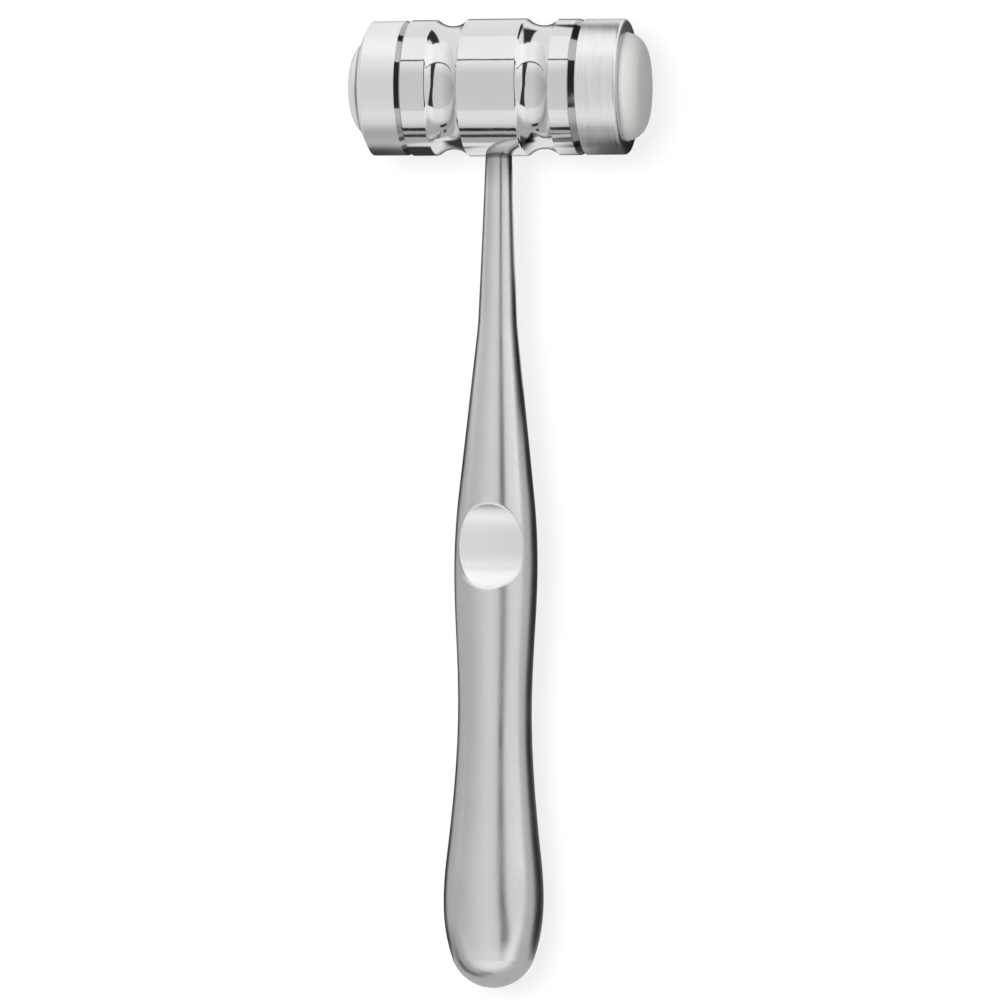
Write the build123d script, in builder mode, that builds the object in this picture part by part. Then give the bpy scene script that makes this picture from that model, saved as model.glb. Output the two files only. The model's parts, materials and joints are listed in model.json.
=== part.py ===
from build123d import *
from math import asin, atan2, cos, hypot, sin, sqrt
import os

# A small surgical mallet, in millimetres, lying on its side on the floor z = 0.
# The head lies along X with its nylon face towards +X, and the handle runs towards -Y.
# The origin is on the floor, under the middle of the whole mallet.
# Head stations are distances along the head axis from the handle, and handle stations are
# distances along the handle axis from the head axis.

# Head body: a turned and polished bar with a thick barrel, two waists and two lands
barrel_diameter = 27.0
barrel_length = 11.6
waist_width = 6.5
waist_depth = 1.4
land_diameter = 26.7
steel_land_length = 4.8
nylon_land_length = 4.0
waist_soft_round = 1.0
waist_crisp_round = 0.3

# Grooves beside the two lands, where the steel cap and the clamp ring are seated. Both slope
# down to the right: the left one on the chamfer of the cap, the right one on the land.
vee_width = 0.3
vee_depth = 0.45
relief_width = 1.4
relief_depth = 0.5

# Spigots at the two ends of the head body
cap_spigot_diameter = 18.0
cap_spigot_length = 5.0
thread_diameter = 23.0
thread_length = 4.4
spigot_chamfer = 0.4

# Steel cap: one piece, bevelled round a crowned striking face
cap_diameter = 26.5
cap_side_length = 7.7
cap_chamfer_length = 1.0
cap_chamfer_depth = 0.4
bevel_length = 1.1
bevel_width = 2.15
rim_groove_width = 1.2
rim_groove_depth = 0.35
steel_face_height = 3.45
steel_crown_radius = 50.0
steel_shoulder_radius = 7.4

# Clamp ring: screws onto the right spigot and holds the nylon face behind its lip
ring_diameter = 26.6
ring_length = 8.0
lip_thickness = 1.7
ring_front_round = 0.7
ring_seat_chamfer = 0.15
lip_edge_chamfer = 0.15

# Nylon face: a flanged plug with a crowned striking face
nylon_diameter = 21.35
nylon_height = 4.2
nylon_crown_radius = 45.0
nylon_shoulder_radius = 4.3

# Handle: one solid turned piece, slim at the neck and round everywhere but at its dimples
handle_length = 177.0
neck_diameter = 5.2
bore_depth = 8.0
kink_station = 46.6
kink_diameter = 7.7
kink_round = 60.0
taper_end_station = 80.0
taper_end_diameter = 14.85
swell_station = 94.2
swell_diameter = 16.4
grip_station = 121.3
grip_diameter = 14.5
flare_station = 149.8
flare_diameter = 18.25
bulb_station = 160.2
bulb_diameter = 19.7
end_radius = 8.5

# Thumb dimples, one on each broad side of the handle
dimple_station = 89.9
dimple_length = 17.5
dimple_depth = 3.7
dimple_cross_radius = 80.0
dimple_edge_round = 0.5

# Fits
braze_gap = 0.03
thread_clearance = 0.08
lip_clearance = 0.10

# Radii and stations that follow from the sizes above
barrel_radius = barrel_diameter / 2
land_radius = land_diameter / 2
relief_radius = land_radius - relief_depth
vee_radius = land_radius - vee_depth
cap_radius = cap_diameter / 2
ring_radius = ring_diameter / 2
thread_radius = thread_diameter / 2
ring_bore_radius = thread_radius + thread_clearance
nylon_radius = nylon_diameter / 2
lip_radius = nylon_radius + lip_clearance
flange_radius = ring_bore_radius - lip_clearance
neck_radius = neck_diameter / 2
bulb_radius = bulb_diameter / 2

barrel_end = barrel_length / 2
waist_end = barrel_end + waist_width
waist_middle = (barrel_end + waist_end) / 2
waist_radius = barrel_radius - waist_depth
steel_land_end = -(waist_end + steel_land_length)
cap_seat = steel_land_end - vee_width
cap_side_end = cap_seat - cap_side_length
cap_rim = cap_side_end - bevel_length
steel_face_top = cap_rim - steel_face_height
nylon_land_end = waist_end + nylon_land_length
ring_seat = nylon_land_end + relief_width
thread_end = ring_seat + thread_length
ring_front = ring_seat + ring_length
lip_back = ring_front - lip_thickness
nylon_top = ring_front + nylon_height

# The end of the handle is a ball of end_radius, and a larger arc leads into it from the bulb
end_centre = handle_length - end_radius
bulb_run = end_centre - bulb_station
bulb_arc_radius = (bulb_run**2 + bulb_radius**2 - end_radius**2) / (2 * (bulb_radius - end_radius))
bulb_arc_height = bulb_radius - bulb_arc_radius
ball_join_scale = end_radius / hypot(bulb_run, bulb_arc_height)
ball_join = (end_centre + bulb_run * ball_join_scale, -bulb_arc_height * ball_join_scale)

# The mallet rests on its barrel and on its bulb, so the handle slopes down a little
slope = asin((barrel_radius - bulb_arc_radius) / hypot(bulb_station, bulb_arc_height)) + atan2(
    -bulb_arc_height, bulb_station
)
reach = end_centre * cos(slope) + end_radius
head_centre = Vector(
    -(nylon_top + steel_face_top) / 2,
    (reach - barrel_radius) / 2,
    barrel_radius,
)
handle_direction = Vector(0, -cos(slope), -sin(slope))
handle_up = Vector(0, -sin(slope), cos(slope))

head_plane = Plane(origin=head_centre, x_dir=(1, 0, 0), z_dir=(0, 0, 1))
head_axis = Axis(head_centre, (1, 0, 0))
handle_plane = Plane(origin=head_centre, x_dir=handle_direction, z_dir=handle_up)
handle_axis = Axis(head_centre, handle_direction)


def cross_plane(station):
    """The plane square to the handle at a station, with its local Y up."""
    return Plane(
        origin=head_centre + handle_direction * station,
        x_dir=(1, 0, 0),
        z_dir=-handle_direction,
    )


# Head body
with BuildPart() as head_body:
    with BuildSketch(head_plane) as head_outline:
        with BuildLine():
            Polyline(
                (cap_seat - cap_spigot_length, 0),
                (cap_seat - cap_spigot_length, cap_spigot_diameter / 2),
                (cap_seat, cap_spigot_diameter / 2),
                (cap_seat, vee_radius),
                (steel_land_end, land_radius),
                (-waist_end, land_radius),
            )
            ThreePointArc(
                (-waist_end, land_radius),
                (-waist_middle, waist_radius),
                (-barrel_end, barrel_radius),
            )
            Line((-barrel_end, barrel_radius), (barrel_end, barrel_radius))
            ThreePointArc(
                (barrel_end, barrel_radius),
                (waist_middle, waist_radius),
                (waist_end, land_radius),
            )
            Polyline(
                (waist_end, land_radius),
                (nylon_land_end, land_radius),
                (ring_seat, relief_radius),
                (ring_seat, thread_radius),
                (thread_end, thread_radius),
                (thread_end, 0),
                (cap_seat - cap_spigot_length, 0),
            )
        make_face()
        # Each waist leaves its left neighbour softly and meets its right neighbour at a crisp edge
        corners = head_outline.vertices()
        soft_corners = [v for v in corners if min(abs(v.X + waist_end), abs(v.X - barrel_end)) < 0.001]
        crisp_corners = [v for v in corners if min(abs(v.X + barrel_end), abs(v.X - waist_end)) < 0.001]
        fillet(soft_corners, waist_soft_round)
        fillet(crisp_corners, waist_crisp_round)
        spigot_corners = [
            v
            for v in head_outline.vertices()
            if (abs(v.X - thread_end) < 0.001 or abs(v.X - (cap_seat - cap_spigot_length)) < 0.001)
            and v.Y > 0.001
        ]
        chamfer(spigot_corners, spigot_chamfer)
    revolve(axis=head_axis)
    # Blind bore for the neck of the handle
    with BuildSketch(cross_plane(barrel_radius - bore_depth)):
        Circle(neck_radius + braze_gap)
    extrude(amount=-2 * bore_depth, mode=Mode.SUBTRACT)

# Steel cap
with BuildPart() as steel_cap:
    # The shoulder arc leaves the rim groove and runs tangent into the crown. Its centre lies
    # where two circles cross: one about the crown's centre and one about its own foot.
    foot = Vector(cap_rim, cap_radius - bevel_width - rim_groove_width)
    crown_centre = Vector(steel_face_top + steel_crown_radius, 0)
    inner_radius = steel_crown_radius - steel_shoulder_radius
    span = foot - crown_centre
    along = (inner_radius**2 - steel_shoulder_radius**2 + span.length**2) / (2 * span.length)
    aside = sqrt(inner_radius**2 - along**2)
    unit = span.normalized()
    shoulder_centre = crown_centre + unit * along + Vector(unit.Y, -unit.X) * aside
    if shoulder_centre.Y > foot.Y:
        shoulder_centre = crown_centre + unit * along - Vector(unit.Y, -unit.X) * aside
    crown_edge = crown_centre + (shoulder_centre - crown_centre).normalized() * steel_crown_radius
    crown_middle = (
        crown_centre
        + ((crown_edge + Vector(steel_face_top, 0)) * 0.5 - crown_centre).normalized() * steel_crown_radius
    )
    shoulder_middle = (
        shoulder_centre
        + ((crown_edge + foot) * 0.5 - shoulder_centre).normalized() * steel_shoulder_radius
    )
    with BuildSketch(head_plane) as cap_outline:
        with BuildLine():
            Polyline(
                (cap_seat, cap_spigot_diameter / 2 + braze_gap),
                (cap_seat, cap_radius),
                (cap_side_end, cap_radius),
                (cap_rim, cap_radius - bevel_width),
            )
            ThreePointArc(
                (cap_rim, cap_radius - bevel_width),
                (cap_rim + rim_groove_depth, cap_radius - bevel_width - rim_groove_width / 2),
                foot,
            )
            ThreePointArc(foot, shoulder_middle, crown_edge)
            ThreePointArc(crown_edge, crown_middle, (steel_face_top, 0))
            Polyline(
                (steel_face_top, 0),
                (cap_seat - cap_spigot_length, 0),
                (cap_seat - cap_spigot_length, cap_spigot_diameter / 2 + braze_gap),
                (cap_seat, cap_spigot_diameter / 2 + braze_gap),
            )
        make_face()
        seat_corners = [
            v
            for v in cap_outline.vertices()
            if abs(v.X - cap_seat) < 0.001 and abs(v.Y - cap_radius) < 0.001
        ]
        seat_edge = [e for e in cap_outline.edges() if abs(e.center().X - cap_seat) < 0.001][0]
        chamfer(seat_corners, cap_chamfer_depth, cap_chamfer_length, reference=seat_edge)
    revolve(axis=head_axis)

# Clamp ring
with BuildPart() as clamp_ring:
    with BuildSketch(head_plane) as ring_outline:
        with BuildLine():
            Polyline(
                (ring_seat, ring_bore_radius),
                (ring_seat, ring_radius),
                (ring_front, ring_radius),
                (ring_front, lip_radius),
                (lip_back, lip_radius),
                (lip_back, ring_bore_radius),
                close=True,
            )
        make_face()
        ring_corners = ring_outline.vertices()
        front_corners = [v for v in ring_corners if abs(v.X - ring_front) < 0.001]
        back_corners = [v for v in ring_corners if abs(v.X - ring_seat) < 0.001]
        fillet([v for v in front_corners if v.Y > ring_bore_radius], ring_front_round)
        chamfer([v for v in front_corners if v.Y < ring_bore_radius], lip_edge_chamfer)
        chamfer(back_corners, ring_seat_chamfer)
    revolve(axis=head_axis)

# Nylon face
with BuildPart() as nylon_face:
    nylon_crown_centre = nylon_top - nylon_crown_radius
    crown_side = nylon_crown_centre + sqrt(nylon_crown_radius**2 - nylon_radius**2)
    with BuildSketch(head_plane) as nylon_outline:
        with BuildLine():
            Polyline(
                (nylon_top, 0),
                (thread_end, 0),
                (thread_end, flange_radius),
                (lip_back, flange_radius),
                (lip_back, nylon_radius),
                (crown_side, nylon_radius),
            )
            RadiusArc((crown_side, nylon_radius), (nylon_top, 0), nylon_crown_radius)
        make_face()
        shoulder_corners = [v for v in nylon_outline.vertices() if abs(v.X - crown_side) < 0.001]
        fillet(shoulder_corners, nylon_shoulder_radius)
    revolve(axis=head_axis)

# Handle
with BuildPart() as handle:
    neck_start = barrel_radius - bore_depth
    taper_rise = (taper_end_diameter - kink_diameter) / (2 * (taper_end_station - kink_station))
    with BuildSketch(handle_plane) as handle_outline:
        with BuildLine():
            Polyline(
                (handle_length, 0),
                (neck_start, 0),
                (neck_start, neck_radius),
                (barrel_radius, neck_radius),
                (kink_station, kink_diameter / 2),
                (taper_end_station, taper_end_diameter / 2),
            )
            Spline(
                (taper_end_station, taper_end_diameter / 2),
                (swell_station, swell_diameter / 2),
                (grip_station, grip_diameter / 2),
                (flare_station, flare_diameter / 2),
                (bulb_station, bulb_radius),
                tangents=[(1, taper_rise), (1, 0)],
            )
            RadiusArc((bulb_station, bulb_radius), ball_join, bulb_arc_radius)
            RadiusArc(ball_join, (handle_length, 0), end_radius)
        make_face()
        kink_corners = [v for v in handle_outline.vertices() if abs(v.X - kink_station) < 0.001]
        fillet(kink_corners, kink_round)
    revolve(axis=handle_axis)
    # Each dimple is the mark of a barrel-shaped cutter whose axle lies across the handle
    dimple_radius = (dimple_length**2 / 4 + dimple_depth**2) / (2 * dimple_depth)
    dimple_floor = swell_diameter / 2 - dimple_depth
    axle_height = dimple_floor + dimple_radius
    cutter_half_width = swell_diameter / 2 + dimple_edge_round
    cutter_rise = dimple_cross_radius - sqrt(dimple_cross_radius**2 - cutter_half_width**2)
    for side in (1, -1):
        with BuildSketch(cross_plane(dimple_station)):
            with BuildLine():
                ThreePointArc(
                    (-cutter_half_width, side * (dimple_floor + cutter_rise)),
                    (0, side * dimple_floor),
                    (cutter_half_width, side * (dimple_floor + cutter_rise)),
                )
                Polyline(
                    (cutter_half_width, side * (dimple_floor + cutter_rise)),
                    (cutter_half_width, side * axle_height),
                    (-cutter_half_width, side * axle_height),
                    (-cutter_half_width, side * (dimple_floor + cutter_rise)),
                )
            make_face()
        axle = Axis(cross_plane(dimple_station).from_local_coords((0, side * axle_height)), (1, 0, 0))
        revolve(axis=axle, mode=Mode.SUBTRACT)
    rims = [
        edge
        for edge in handle.edges().filter_by(GeomType.BSPLINE)
        if abs(handle_plane.to_local_coords(edge.center()).Z) > 1
    ]
    fillet(rims, dimple_edge_round)

head_body.part.label = "head_body"
steel_cap.part.label = "steel_cap"
clamp_ring.part.label = "clamp_ring"
nylon_face.part.label = "nylon_face"
handle.part.label = "handle"

os.makedirs("parts", exist_ok=True)
export_step(head_body.part, "parts/head_body.step")
export_step(steel_cap.part, "parts/steel_cap.step")
export_step(clamp_ring.part, "parts/clamp_ring.step")
export_step(nylon_face.part, "parts/nylon_face.step")
export_step(handle.part, "parts/handle.step")
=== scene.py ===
import json
from math import cos, pi, radians, sin

import bpy
from mathutils import Matrix, Vector

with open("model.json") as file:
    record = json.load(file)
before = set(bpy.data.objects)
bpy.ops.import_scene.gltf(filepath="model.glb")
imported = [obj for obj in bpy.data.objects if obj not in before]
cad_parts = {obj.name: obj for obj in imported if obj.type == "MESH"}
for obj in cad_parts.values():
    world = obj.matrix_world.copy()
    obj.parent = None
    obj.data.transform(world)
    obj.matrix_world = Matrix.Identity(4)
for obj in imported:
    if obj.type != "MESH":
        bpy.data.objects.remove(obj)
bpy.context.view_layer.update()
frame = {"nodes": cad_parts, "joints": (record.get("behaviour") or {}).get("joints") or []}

# A small surgical mallet lying on a pale floor, in metres, seen from above.
# Its head lies along X and its handle runs towards -Y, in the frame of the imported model.
NODES = frame["nodes"]
RING_JOINT = next(j for j in frame["joints"] if j["name"] == "ring_turn")
HEAD_CENTRE = Vector(RING_JOINT["pos_m"])

# The mallet rests on its head and on the bulb of its handle, so the handle slopes a little
HANDLE_SLOPE = radians(1.3032)
HANDLE_DIRECTION = Vector((0, -cos(HANDLE_SLOPE), -sin(HANDLE_SLOPE)))
HANDLE_UP = Vector((0, -sin(HANDLE_SLOPE), cos(HANDLE_SLOPE)))

# Camera, above the handle and leaning to the right
CAMERA_LEAN = radians(12)
CAMERA_ROLL = radians(0.4)
CAMERA_DISTANCE = 1.2
CAMERA_LENS = 219.7
CAMERA_SENSOR = 36
CAMERA_REACH = 20
VIEW_CENTRE_BELOW_HEAD = 0.0811
VIEW_CENTRE_RIGHT_OF_HANDLE = 0.0007

# Key light
KEY_PLACE = (-0.15, 0.15, 1.2)
KEY_SIZE = 0.5
KEY_POWER = 10.5

# Colours
POLISHED_DULL = (0.70, 0.705, 0.71, 1)
POLISHED_BRIGHT = (0.76, 0.76, 0.76, 1)
GROOVE_PAINTED_SHADE = (0.30, 0.30, 0.295, 1)
SATIN_DULL = (0.74, 0.745, 0.75, 1)
SATIN_BRIGHT = (0.86, 0.86, 0.86, 1)
DIMPLE_PAINTED_HIGHLIGHT = (0.90, 0.90, 0.90, 1)
NECK_PAINTED_SHADE = (0.44, 0.44, 0.435, 1)
CORNER_PAINTED_SHADE = (0.22, 0.21, 0.20, 1)
CAP_DULL = (0.84, 0.845, 0.85, 1)
CAP_BRIGHT = (0.90, 0.90, 0.90, 1)
CHAMFER_PAINTED_SHADE = (0.42, 0.42, 0.415, 1)
RIM_LINE_PAINTED_SHADE = (0.36, 0.36, 0.355, 1)
RING_DULL = (0.78, 0.785, 0.79, 1)
RING_BRIGHT = (0.92, 0.92, 0.92, 1)
NYLON_DULL = (0.76, 0.755, 0.735, 1)
NYLON_BRIGHT = (0.82, 0.815, 0.795, 1)

# Roughness, from the smoothest to the roughest place of each finish
POLISHED_ROUGHNESS = (0.05, 0.09)
SATIN_ROUGHNESS = (0.24, 0.32)
CAP_ROUGHNESS = (0.33, 0.40)
RING_ROUGHNESS = (0.28, 0.40)
NYLON_ROUGHNESS = 0.45

# The two grooves of the head, by distance from its middle. The right one is painted darker, as
# painted shade in its recess
GROOVE_START = 0.01605
GROOVE_FULL = 0.0162

# Thread between the head and the ring: where it starts along the head, and its spigot's radius
THREAD_PITCH = 0.001
THREAD_DEPTH = 0.0004
THREAD_START = 0.0178
THREAD_FULL = 0.0180
SPIGOT_RADIUS_LOW = 0.0112
SPIGOT_RADIUS_HIGH = 0.0114

# The cap's chamfer at its seat is turned and polished with the head, and its colour is painted
# darker as painted shade; the rest of the cap is satin
CAP_CHAMFER_START = -0.0184
CAP_CHAMFER_BLEND = 0.0001

# A fine dark line of painted shade where the cap's crowned face rises from its rim
CAP_RIM_START = -0.0255
CAP_RIM_BLEND = 0.0004
CAP_RIM_LINE_RADIUS = 0.0096
CAP_RIM_LINE_HALF_WIDTH = 0.0003
CAP_RIM_LINE_END = 0.0005

# Lines round the head are uneven along their length, less so within this radius of its axis
LINES_UNEVENNESS = 1.6
LINES_FULL_RADIUS = 0.004

# Thumb dimples, painted brighter than the handle as a painted highlight, in the handle's own length
# and width
DIMPLE_STATION = 0.0899
DIMPLE_HALF_LENGTH = 0.00875
DIMPLE_HALF_WIDTH = 0.0066

# Along the handle, the end of its spigot in the head and the start of its neck
SPIGOT_END = 0.0125
NECK_START = 0.0135

# By distance from the head's axis: painted shade, darkest in the corner of the joint, and a lighter
# painted shade that fades up the neck
CORNER_SHADE_RADIUS = 0.0138
CORNER_SHADE_END_RADIUS = 0.0143
NECK_SHADE_RADIUS = 0.0135
NECK_SHADE_END_RADIUS = 0.0210

# The handle as its shades on the floor follow it, along Y from the head's axis
SHADED_NECK = -0.020
SHADED_BULB = -0.170
SHADES_FRONT = -0.171
NECK_HALF_WIDTH = 0.0026
BULB_HALF_WIDTH = 0.0098

# Floor: its size, its own glow for the camera, and how pale it is to the camera and to the rest
FLOOR_HALF = 3.0
FLOOR_GLOW = 0.8
FLOOR_SEEN = 0.22
FLOOR_PLAIN = 0.75

# How bright the metal sees the floor before the head and behind it, and in two paler places
FLOOR_LEVEL_FRONT = 0.50
FLOOR_LEVEL_BACK = 0.95
BEFORE_HEAD_LEVEL = 0.95
BESIDE_CAP_LEVEL = 0.75

# Dark wedges that fan out from below the head: where they start, are full, end to be full, and
# end, as X over Y
BACK_WEDGE = (0.05, 0.14, 0.50, 0.65)
FRONT_WEDGE = (0.13, 0.18, 0.32, 0.40)

# Light tent. Angles in degrees: from straight up towards the head's back, or towards its right
PANEL_HALF = 42
GAP_ANGLE = 30.0
GAP_SLANT = -0.35
GAP_HALF_WIDTH = 6.0
GAP_END = 8.5
GAP_WIDENING = 6.0
LOW_LINE_ANGLE = 80.0
TENT_DARK = 0.05
PLAIN_LIGHT = 0.35


# Node helpers
class Graph:
    """Short calls for adding linked nodes to one node tree."""

    def __init__(self, tree):
        self.tree = tree
        self.tree.nodes.clear()

    def node(self, kind, inputs=None, **settings):
        made = self.tree.nodes.new(kind)
        for name, value in settings.items():
            setattr(made, name, value)
        for key, value in (inputs or {}).items():
            socket = made.inputs[key]
            if isinstance(value, bpy.types.NodeSocket):
                self.tree.links.new(value, socket)
            else:
                socket.default_value = value
        return made

    def math(self, operation, a, b=0.0, c=0.0, clamp=False):
        inputs = {0: a, 1: b, 2: c}
        return self.node("ShaderNodeMath", inputs, operation=operation, use_clamp=clamp).outputs[0]

    def length(self, a, b):
        """Root of the sum of two squares."""
        squares = self.math("ADD", self.math("MULTIPLY", a, a), self.math("MULTIPLY", b, b))
        return self.math("SQRT", squares)

    def vector(self, operation, a, b):
        return self.node("ShaderNodeVectorMath", {0: a, 1: b}, operation=operation).outputs[0]

    def scaled(self, a, scale):
        inputs = {0: a, "Scale": scale}
        return self.node("ShaderNodeVectorMath", inputs, operation="SCALE").outputs[0]

    def dot(self, a, b):
        return self.node("ShaderNodeVectorMath", {0: a, 1: b}, operation="DOT_PRODUCT").outputs[1]

    def ramp(self, value, stops):
        made = self.node("ShaderNodeValToRGB", {0: value})
        ramp = made.color_ramp
        while len(ramp.elements) < len(stops):
            ramp.elements.new(0.5)
        for element, (place, _) in zip(ramp.elements, stops):
            element.position = place
        for element, (_, level) in zip(ramp.elements, stops):
            element.color = grey(level)
        return made.outputs[0]

    def map_range(self, value, low, high, to_low=0.0, to_high=1.0, smooth=False):
        return self.node(
            "ShaderNodeMapRange",
            {0: value, 1: low, 2: high, 3: to_low, 4: to_high},
            interpolation_type="SMOOTHSTEP" if smooth else "LINEAR",
        ).outputs[0]

    def noise(self, vector, scale, detail):
        inputs = {"Vector": vector, "Scale": scale, "Detail": detail, "Roughness": 0.5}
        return self.node("ShaderNodeTexNoise", inputs).outputs[0]

    def mix_colour(self, factor, a, b):
        return self.node("ShaderNodeMix", {0: factor, 6: a, 7: b}, data_type="RGBA").outputs[2]

    def bump(self, height, strength, distance, normal=None):
        inputs = {"Strength": strength, "Distance": distance, "Height": height}
        if normal is not None:
            inputs["Normal"] = normal
        return self.node("ShaderNodeBump", inputs).outputs[0]


def grey(level):
    return (level, level, level, 1)


def new_material(name):
    material = bpy.data.materials.new(name)
    material.use_nodes = True
    return material, Graph(material.node_tree)


def finish_material(g, shader):
    g.node("ShaderNodeOutputMaterial", {"Surface": shader})


def place_from_head(g):
    """Place on the object from the middle of the head."""
    place = g.node("ShaderNodeTexCoord").outputs["Object"]
    return g.vector("SUBTRACT", place, tuple(HEAD_CENTRE))


def head_coordinates(g):
    """Place along the head axis, distance from it and angle round it, with the plain place."""
    local = place_from_head(g)
    x, y, z = g.node("ShaderNodeSeparateXYZ", {0: local}).outputs
    return x, g.length(y, z), g.math("ARCTAN2", y, z), local


# Materials
def round_lines(g, x, radius, angle, fineness, detail):
    """Fine lines that run round the head, as turning and brushing leave them."""
    unevenness = g.map_range(radius, 0.0, LINES_FULL_RADIUS, 0.0, LINES_UNEVENNESS)
    place = g.node(
        "ShaderNodeCombineXYZ",
        {
            0: g.math("MULTIPLY", x, fineness),
            1: g.math("MULTIPLY", angle, unevenness),
            2: g.math("MULTIPLY", radius, fineness),
        },
    ).outputs[0]
    return g.noise(place, scale=1.0, detail=detail)


def thread_height(g, x, radius, angle):
    """Ridges on the spigot behind the ring: right hand, one turn in each pitch."""
    turns = g.math("MULTIPLY_ADD", x, 1 / THREAD_PITCH, g.math("MULTIPLY", angle, 0.5 / pi))
    ridges = g.math("PINGPONG", turns, 0.5)
    past_land = g.map_range(x, THREAD_START, THREAD_FULL)
    outside = g.map_range(radius, SPIGOT_RADIUS_LOW, SPIGOT_RADIUS_HIGH)
    return g.math("MULTIPLY", ridges, g.math("MULTIPLY", past_land, outside))


def steel(g, colour, roughness, normal):
    inputs = {"Base Color": colour, "Metallic": 1.0, "Roughness": roughness, "Normal": normal}
    return g.node("ShaderNodeBsdfPrincipled", inputs).outputs[0]


def polished_steel():
    material, g = new_material("polished_steel")
    x, radius, angle, local = head_coordinates(g)
    mottle = g.noise(local, scale=140, detail=3)
    waves = g.noise(local, scale=420, detail=2)
    lines = round_lines(g, x, radius, angle, fineness=9000.0, detail=2)
    roughness = g.map_range(mottle, 0.35, 0.7, *POLISHED_ROUGHNESS)
    colour = g.mix_colour(mottle, POLISHED_DULL, POLISHED_BRIGHT)
    in_groove = g.map_range(g.math("ABSOLUTE", x), GROOVE_START, GROOVE_FULL)
    # Painted shade: the right groove gets a darker colour for the shade in its recess
    right_groove_shade = g.math("MULTIPLY", in_groove, g.math("GREATER_THAN", x, 0.0))
    colour = g.mix_colour(g.math("MULTIPLY", right_groove_shade, 0.75), colour, GROOVE_PAINTED_SHADE)
    normal = g.bump(waves, strength=0.30, distance=0.00003)
    normal = g.bump(lines, strength=0.03, distance=0.00002, normal=normal)
    thread = thread_height(g, x, radius, angle)
    normal = g.bump(thread, strength=1.0, distance=THREAD_DEPTH, normal=normal)
    finish_material(g, steel(g, colour, roughness, normal))
    return material


def round_normal(g, local, along, dimple):
    """The handle's own round normal, so that its mesh facets don't show in the reflections.
    It keeps the mesh's slope along the handle, and inside the dimples the mesh's normal as it is."""
    axis = tuple(HANDLE_DIRECTION)
    normal = g.node("ShaderNodeNewGeometry").outputs["Normal"]
    slope = g.dot(normal, axis)
    outward = g.vector("SUBTRACT", local, g.scaled(axis, along))
    outward = g.node("ShaderNodeVectorMath", {0: outward}, operation="NORMALIZE").outputs[0]
    steepness = g.math("SQRT", g.math("SUBTRACT", 1.0, g.math("MULTIPLY", slope, slope)))
    smooth = g.vector("ADD", g.scaled(outward, steepness), g.scaled(axis, slope))
    spigot = g.map_range(along, SPIGOT_END, NECK_START, 1.0, 0.0)
    keep = g.math("MAXIMUM", dimple, spigot)
    return g.node("ShaderNodeMix", {0: keep, 4: smooth, 5: normal}, data_type="VECTOR").outputs[1]


def in_dimple(g, local, along):
    """1 in the long ovals of the two thumb dimples, and 0 outside them."""
    across = g.node("ShaderNodeSeparateXYZ", {0: local}).outputs[0]
    from_dimple = g.math("SUBTRACT", along, DIMPLE_STATION)
    spread = g.length(
        g.math("MULTIPLY", across, 1 / DIMPLE_HALF_WIDTH),
        g.math("MULTIPLY", from_dimple, 1 / DIMPLE_HALF_LENGTH),
    )
    return g.map_range(spread, 0.96, 1.0, 1.0, 0.0, smooth=True)


def satin_steel():
    material, g = new_material("satin_steel")
    place = g.node("ShaderNodeTexCoord").outputs["Object"]
    local = place_from_head(g)
    along = g.dot(local, tuple(HANDLE_DIRECTION))
    dimple = in_dimple(g, local, along)
    stretched = g.node("ShaderNodeMapping", {"Vector": place, "Scale": (5000, 120, 5000)}).outputs[0]
    grain = g.noise(stretched, scale=1.0, detail=3)
    mottle = g.noise(place, scale=90, detail=3)
    roughness = g.map_range(mottle, 0.3, 0.7, *SATIN_ROUGHNESS)
    grain_tone = g.math("MULTIPLY_ADD", grain, 0.7, -0.25)
    tone = g.math("MULTIPLY_ADD", mottle, 0.8, grain_tone, clamp=True)
    colour = g.mix_colour(tone, SATIN_DULL, SATIN_BRIGHT)
    # Painted highlight: the dimples get a brighter colour than the rest of the handle
    colour = g.mix_colour(dimple, colour, DIMPLE_PAINTED_HIGHLIGHT)
    _, radius, _, _ = head_coordinates(g)
    # Painted shade on the neck next to the head, fading away from it, and darkest in the joint's
    # corner
    neck_shade = g.map_range(radius, NECK_SHADE_RADIUS, NECK_SHADE_END_RADIUS, 0.75, 0.0, smooth=True)
    colour = g.mix_colour(neck_shade, colour, NECK_PAINTED_SHADE)
    corner_shade = g.map_range(radius, CORNER_SHADE_RADIUS, CORNER_SHADE_END_RADIUS, 1.0, 0.0, smooth=True)
    colour = g.mix_colour(corner_shade, colour, CORNER_PAINTED_SHADE)
    height = g.math("MULTIPLY", grain, g.map_range(dimple, 0, 1, 1.0, 0.1))
    smooth = round_normal(g, local, along, dimple)
    normal = g.bump(height, strength=0.08, distance=0.00003, normal=smooth)
    finish_material(g, steel(g, colour, roughness, normal))
    return material


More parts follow.
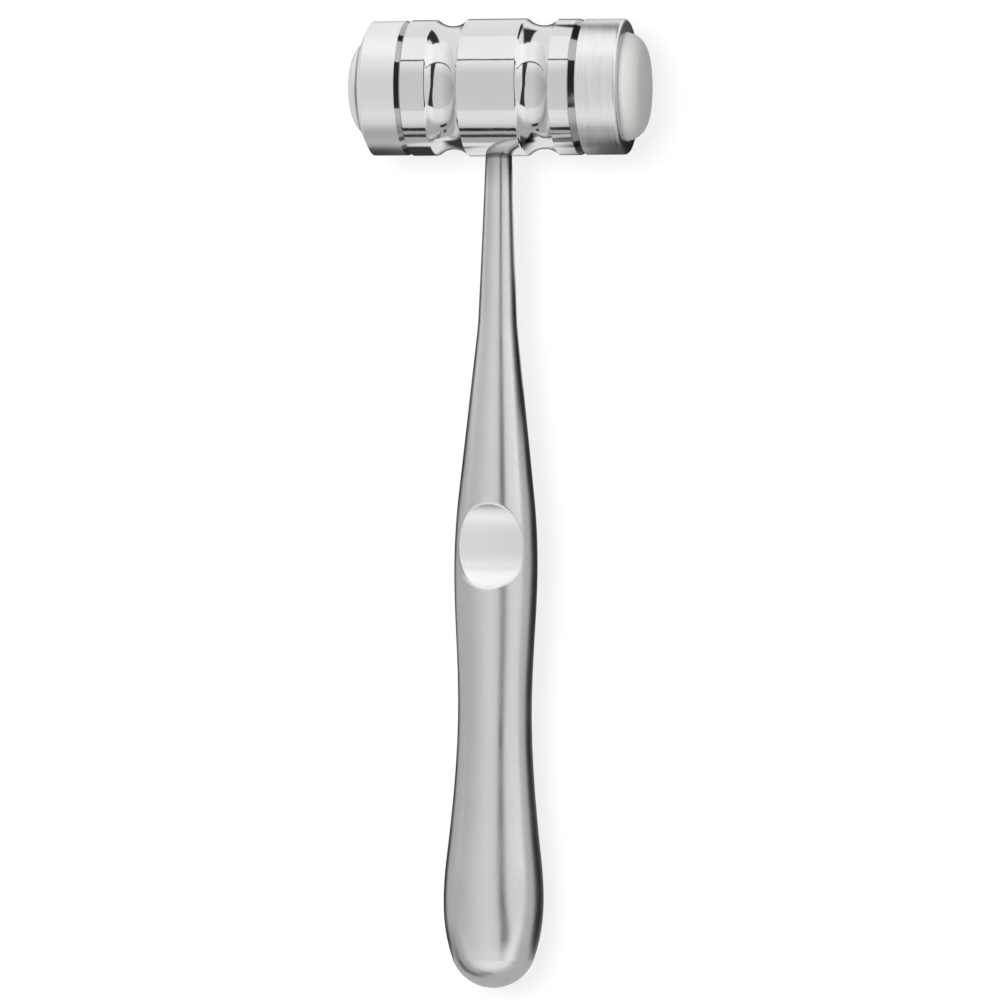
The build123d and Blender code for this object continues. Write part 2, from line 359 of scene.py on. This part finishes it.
def cap_steel():
    material, g = new_material("cap_steel")
    x, radius, angle, local = head_coordinates(g)
    lines = round_lines(g, x, radius, angle, fineness=7000.0, detail=3)
    mottle = g.noise(local, scale=120, detail=3)
    chamfer = g.map_range(x, CAP_CHAMFER_START, CAP_CHAMFER_START + CAP_CHAMFER_BLEND)
    satin = g.map_range(mottle, 0.3, 0.7, *CAP_ROUGHNESS)
    roughness = g.math("MULTIPLY", satin, g.map_range(chamfer, 0, 1, 1.0, 0.2))
    colour = g.mix_colour(lines, CAP_DULL, CAP_BRIGHT)
    # Painted shade: the chamfer gets a darker colour
    colour = g.mix_colour(chamfer, colour, CHAMFER_PAINTED_SHADE)
    # Painted shade: a fine dark line at the rim line's radius, on the rim only
    off_line = g.math("ABSOLUTE", g.math("SUBTRACT", radius, CAP_RIM_LINE_RADIUS))
    near_line = g.map_range(
        off_line, CAP_RIM_LINE_HALF_WIDTH, CAP_RIM_LINE_END, 1.0, 0.0, smooth=True
    )
    on_rim = g.map_range(x, CAP_RIM_START - CAP_RIM_BLEND, CAP_RIM_START, 1.0, 0.0)
    rim_painted_shade = g.math("MULTIPLY", near_line, on_rim)
    colour = g.mix_colour(rim_painted_shade, colour, RIM_LINE_PAINTED_SHADE)
    normal = g.bump(lines, strength=0.05, distance=0.00003)
    finish_material(g, steel(g, colour, roughness, normal))
    return material


def ring_steel():
    material, g = new_material("ring_steel")
    x, radius, angle, _ = head_coordinates(g)
    lines = round_lines(g, x, radius, angle, fineness=3500.0, detail=4)
    roughness = g.map_range(lines, 0.3, 0.7, *RING_ROUGHNESS)
    colour = g.mix_colour(g.map_range(lines, 0.3, 0.7), RING_DULL, RING_BRIGHT)
    normal = g.bump(lines, strength=0.10, distance=0.00004)
    finish_material(g, steel(g, colour, roughness, normal))
    return material


def nylon():
    material, g = new_material("nylon")
    local = place_from_head(g)
    cloud = g.noise(local, scale=260, detail=3)
    grain = g.noise(local, scale=2500, detail=3)
    shader = g.node(
        "ShaderNodeBsdfPrincipled",
        {
            "Base Color": g.mix_colour(cloud, NYLON_DULL, NYLON_BRIGHT),
            "Roughness": NYLON_ROUGHNESS,
            "Subsurface Weight": 0.3,
            "Subsurface Radius": (0.0012, 0.0011, 0.0010),
            "Subsurface Scale": 1.0,
            "IOR": 1.53,
            "Normal": g.bump(grain, strength=0.05, distance=0.00005),
        },
    )
    finish_material(g, shader.outputs[0])
    return material


def assign(node_name, material):
    obj = NODES[node_name]
    if not obj.material_slots:
        obj.data.materials.append(material)
    for slot in obj.material_slots:
        slot.link = "OBJECT"
        slot.material = material


# Stage, light and camera
def soft_box(g, across, along, left, right, front, back, softness):
    """1 inside a box on the floor, falling to 0 over its softness outside it."""

    def outside(value, low, high):
        middle = g.math("MULTIPLY", g.math("ADD", low, high), 0.5)
        half = g.math("MULTIPLY", g.math("SUBTRACT", high, low), 0.5)
        off = g.math("ABSOLUTE", g.math("SUBTRACT", value, middle))
        return g.math("MAXIMUM", g.math("SUBTRACT", off, half), 0.0)

    distance = g.length(outside(across, left, right), outside(along, front, back))
    return g.map_range(distance, 0.0, softness, 1.0, 0.0, smooth=True)


def wedge(g, across, along, slants, start, full):
    """1 between two lines that fan out from below the head, beyond a distance along Y."""
    low, low_full, high_full, high = slants
    slant = g.math("DIVIDE", across, along)
    inside = g.math(
        "MULTIPLY",
        g.map_range(slant, low, low_full, 0.0, 1.0, smooth=True),
        g.map_range(slant, high_full, high, 1.0, 0.0, smooth=True),
    )
    return g.math("MULTIPLY", inside, g.map_range(along, start, full))


def handle_shades(g, across, along, ray_length):
    """Shades on both sides of the handle and below it, which widen with it towards its bulb."""
    down = g.map_range(along, SHADED_BULB, SHADED_NECK, 1.0, 0.0)
    half_width = g.map_range(down, 0.0, 1.0, NECK_HALF_WIDTH, BULB_HALF_WIDTH)
    right_start = g.math("ADD", half_width, 0.008)
    right = soft_box(
        g, across, along, left=right_start, right=g.math("ADD", half_width, 0.017),
        front=SHADES_FRONT, back=-0.040, softness=0.009,
    )
    below = soft_box(
        g, across, along, left=0.0, right=right_start,
        front=SHADES_FRONT, back=-0.060, softness=0.004,
    )
    # The left shade lies further out and is wider beside the neck than beside the grip
    margin = g.map_range(down, 0.1, 0.6, 0.032, 0.009)
    margin = g.math("ADD", margin, g.map_range(down, 0.5, 0.9, 0.0, 0.006))
    left_edge = g.math("MULTIPLY", half_width, -1.0)
    left = soft_box(
        g, across, along,
        left=g.math("SUBTRACT", left_edge, margin), right=g.map_range(down, 0.1, 0.35, -0.016, 0.0),
        front=SHADES_FRONT, back=-0.018, softness=0.007,
    )
    # The left shade shows in what is close to it, which the handle is and the barrel isn't
    close = g.map_range(ray_length, 0.033, 0.040, 1.0, 0.0)
    return g.math("MULTIPLY", left, close), right, below


def mirrored_floor(g, across, along, ray_length):
    """How bright the metal sees the floor."""
    left_shade, right_shade, under_handle = handle_shades(g, across, along, ray_length)
    under_head = soft_box(
        g, across, along, left=-0.033, right=0.046, front=-0.012, back=0.0165, softness=0.009
    )
    right_of_head = soft_box(
        g, across, along, left=0.018, right=0.055, front=-0.055, back=-0.010, softness=0.012
    )
    behind_head = wedge(g, across, along, BACK_WEDGE, start=0.034, full=0.042)
    beyond_bulb = wedge(g, across, along, FRONT_WEDGE, start=-0.17, full=-0.19)
    before_head = soft_box(
        g, across, along, left=-0.022, right=0.012, front=-0.060, back=-0.018, softness=0.016
    )
    beside_cap = soft_box(
        g, across, along, left=-0.150, right=-0.045, front=-0.050, back=0.050, softness=0.030
    )
    behind = g.map_range(along, 0.0, 0.02)
    level = g.map_range(behind, 0, 1, FLOOR_LEVEL_FRONT, FLOOR_LEVEL_BACK)
    level = g.math("MAXIMUM", level, g.math("MULTIPLY", before_head, BEFORE_HEAD_LEVEL))
    level = g.math("MAXIMUM", level, g.math("MULTIPLY", beside_cap, BESIDE_CAP_LEVEL))
    for shade, darkest in (
        (left_shade, 0.05),
        (right_shade, 0.05),
        (under_handle, 0.4),
        (under_head, 0.06),
        (right_of_head, 0.15),
        (behind_head, 0.04),
        (beyond_bulb, 0.12),
    ):
        level = g.math("MULTIPLY", level, g.map_range(shade, 0, 1, 1.0, darkest))
    return level


def floor_material():
    """A pale floor. Camera rays see it nearly white with a faint shadow, and the metal sees its
    painted glow: paler before the head, greyer beside the handle, and painted shadows close to the
    object."""
    material, g = new_material("floor")
    rays = g.node("ShaderNodeLightPath").outputs
    glossy = rays["Is Glossy Ray"]
    white = g.math("MAXIMUM", rays["Is Camera Ray"], rays["Is Transmission Ray"])
    place = g.node("ShaderNodeTexCoord").outputs["Object"]
    across, north, _ = g.node("ShaderNodeSeparateXYZ", {0: place}).outputs
    along = g.math("SUBTRACT", north, HEAD_CENTRE.y)
    level = mirrored_floor(g, across, along, rays["Ray Length"])
    seen_glow = g.math("MULTIPLY", white, FLOOR_GLOW)
    glow = g.math("ADD", seen_glow, g.math("MULTIPLY", glossy, level))
    albedo = g.mix_colour(white, grey(FLOOR_PLAIN), grey(FLOOR_SEEN))
    albedo = g.mix_colour(glossy, albedo, grey(0.0))
    diffuse = g.node("ShaderNodeBsdfDiffuse", {"Color": albedo}).outputs[0]
    emission = g.node("ShaderNodeEmission", {"Color": grey(1.0), "Strength": glow}).outputs[0]
    finish_material(g, g.node("ShaderNodeAddShader", {0: diffuse, 1: emission}).outputs[0])
    return material


def build_floor():
    corners = [
        (side * FLOOR_HALF, end * FLOOR_HALF, 0)
        for side, end in ((-1, -1), (1, -1), (1, 1), (-1, 1))
    ]
    mesh = bpy.data.meshes.new("floor")
    mesh.from_pydata(corners, [], [(0, 1, 2, 3)])
    mesh.materials.append(floor_material())
    floor = bpy.data.objects.new("floor", mesh)
    bpy.context.scene.collection.objects.link(floor)


def tent_brightness(g, x, fore):
    """Levels of the tent from before the head, over it and behind it, and from left to right."""
    levels = (
        # Band towards the handle
        (-90, 0.45), (-78, 0.55), (-68, 0.88), (-56, 0.99), (-44.5, 0.98),
        # Panel overhead
        (-43.5, 0.79), (-21, 0.76), (0, 0.75), (20, 0.77), (30, 0.91), (41, 1.08),
        # Dark line along the panel's back edge, and the band behind it
        (41.6, 0.08), (43.6, 0.08), (44.2, 1.13), (90, 1.1),
    )
    stops = [(0.5 + angle / 180, level) for angle, level in levels]
    tent = g.ramp(g.math("MULTIPLY_ADD", fore, 1 / 180, 0.5), stops)
    sideways = g.ramp(
        g.math("MULTIPLY_ADD", x, 0.5, 0.5),
        [(0.0, 0.62), (0.1, 0.75), (0.4, 1.0), (0.65, 1.0), (0.8, 1.12), (1.0, 1.0)],
    )
    return g.vector("MULTIPLY", tent, sideways)


def tent_gap(g, fore, side):
    """1 in the dark gap at the panel's right. It slants in front, and widens to front and back."""
    gap_middle = g.math("MULTIPLY_ADD", g.math("MINIMUM", fore, 0.0), GAP_SLANT, GAP_ANGLE)
    off_middle = g.math("ABSOLUTE", g.math("SUBTRACT", side, gap_middle))
    from_top = g.math("MULTIPLY", g.math("ABSOLUTE", fore), 1 / PANEL_HALF)
    widening = g.math("MULTIPLY", g.math("POWER", from_top, 2.0), GAP_WIDENING)
    off_middle = g.math("SUBTRACT", off_middle, widening)
    in_gap = g.map_range(off_middle, GAP_HALF_WIDTH, GAP_END, 1.0, 0.0, smooth=True)
    in_panel = g.map_range(g.math("ABSOLUTE", fore), 41.5, 43.0, 1.0, 0.0)
    return g.math("MULTIPLY", in_gap, in_panel)


def tent_low_line(g, x, fore):
    """1 in a short dark line low before the head, a little to the left of its middle."""
    off_line = g.math("ABSOLUTE", g.math("ADD", fore, LOW_LINE_ANGLE))
    line = g.map_range(off_line, 2.5, 4.0, 1.0, 0.0, smooth=True)
    off_centre = g.math("ABSOLUTE", g.math("ADD", x, 0.2))
    return g.math("MULTIPLY", line, g.map_range(off_centre, 0.15, 0.3, 1.0, 0.0))


def tent_low_right(g, x, y, z):
    """1 in a dark patch on the horizon behind the head, to its right."""
    patch = wedge(g, x, y, BACK_WEDGE, start=0.1, full=0.2)
    return g.math("MULTIPLY", patch, g.map_range(z, 0.05, 0.10, 1.0, 0.0))


def build_world():
    """A light tent as polished metal sees it, even weak light for everything else, and white
    for the camera."""
    world = bpy.data.worlds.new("studio")
    bpy.context.scene.world = world
    world.use_nodes = True
    g = Graph(world.node_tree)
    direction = g.node("ShaderNodeTexCoord").outputs["Generated"]
    x, y, z = g.node("ShaderNodeSeparateXYZ", {0: direction}).outputs
    fore = g.math("DEGREES", g.math("ARCTAN2", y, z))
    side = g.math("DEGREES", g.math("ARCTAN2", x, z))
    low_dark = g.math("MAXIMUM", tent_low_line(g, x, fore), tent_low_right(g, x, y, z))
    dark = g.math("MAXIMUM", tent_gap(g, fore, side), low_dark)
    dimming = g.map_range(dark, 0, 1, 1.0, TENT_DARK)
    glossy = g.scaled(tent_brightness(g, x, fore), dimming)
    rays = g.node("ShaderNodeLightPath").outputs
    plain = g.mix_colour(rays["Is Camera Ray"], grey(PLAIN_LIGHT), grey(1.0))
    colour = g.mix_colour(rays["Is Glossy Ray"], plain, glossy)
    background = g.node("ShaderNodeBackground", {"Color": colour, "Strength": 1.0}).outputs[0]
    g.node("ShaderNodeOutputWorld", {"Surface": background})


def build_key_light():
    """A large soft lamp, up and to the left. The metal doesn't mirror it: it sees the tent."""
    light = bpy.data.lights.new("key", "AREA")
    light.size = KEY_SIZE
    light.energy = KEY_POWER
    lamp = bpy.data.objects.new("key", light)
    place = Vector(KEY_PLACE)
    aim = place.to_track_quat("Z", "Y").to_matrix().to_4x4()
    lamp.matrix_world = Matrix.Translation(place) @ aim
    lamp.visible_glossy = False
    bpy.context.scene.collection.objects.link(lamp)


def build_camera():
    lean_towards = Vector((1, 0, 0))
    towards = lean_towards * sin(CAMERA_LEAN) + HANDLE_UP * cos(CAMERA_LEAN)
    up = -HANDLE_DIRECTION
    right = up.cross(towards).normalized()
    up = towards.cross(right).normalized()
    centre = HEAD_CENTRE + HANDLE_DIRECTION * VIEW_CENTRE_BELOW_HEAD
    centre = centre + right * VIEW_CENTRE_RIGHT_OF_HANDLE
    turn = Matrix.Rotation(CAMERA_ROLL, 3, towards)
    axes = Matrix((turn @ right, turn @ up, towards)).transposed().to_4x4()
    camera = bpy.data.objects.new("camera", bpy.data.cameras.new("camera"))
    camera.data.lens = CAMERA_LENS
    camera.data.sensor_width = CAMERA_SENSOR
    camera.data.clip_end = CAMERA_REACH
    camera.matrix_world = Matrix.Translation(centre + towards * CAMERA_DISTANCE) @ axes
    bpy.context.scene.collection.objects.link(camera)
    bpy.context.scene.camera = camera


assign("head_body", polished_steel())
assign("handle", satin_steel())
assign("steel_cap", cap_steel())
assign("clamp_ring", ring_steel())
assign("nylon_face", nylon())

build_floor()
build_world()
build_key_light()
build_camera()
bpy.context.scene.view_settings.view_transform = "Standard"
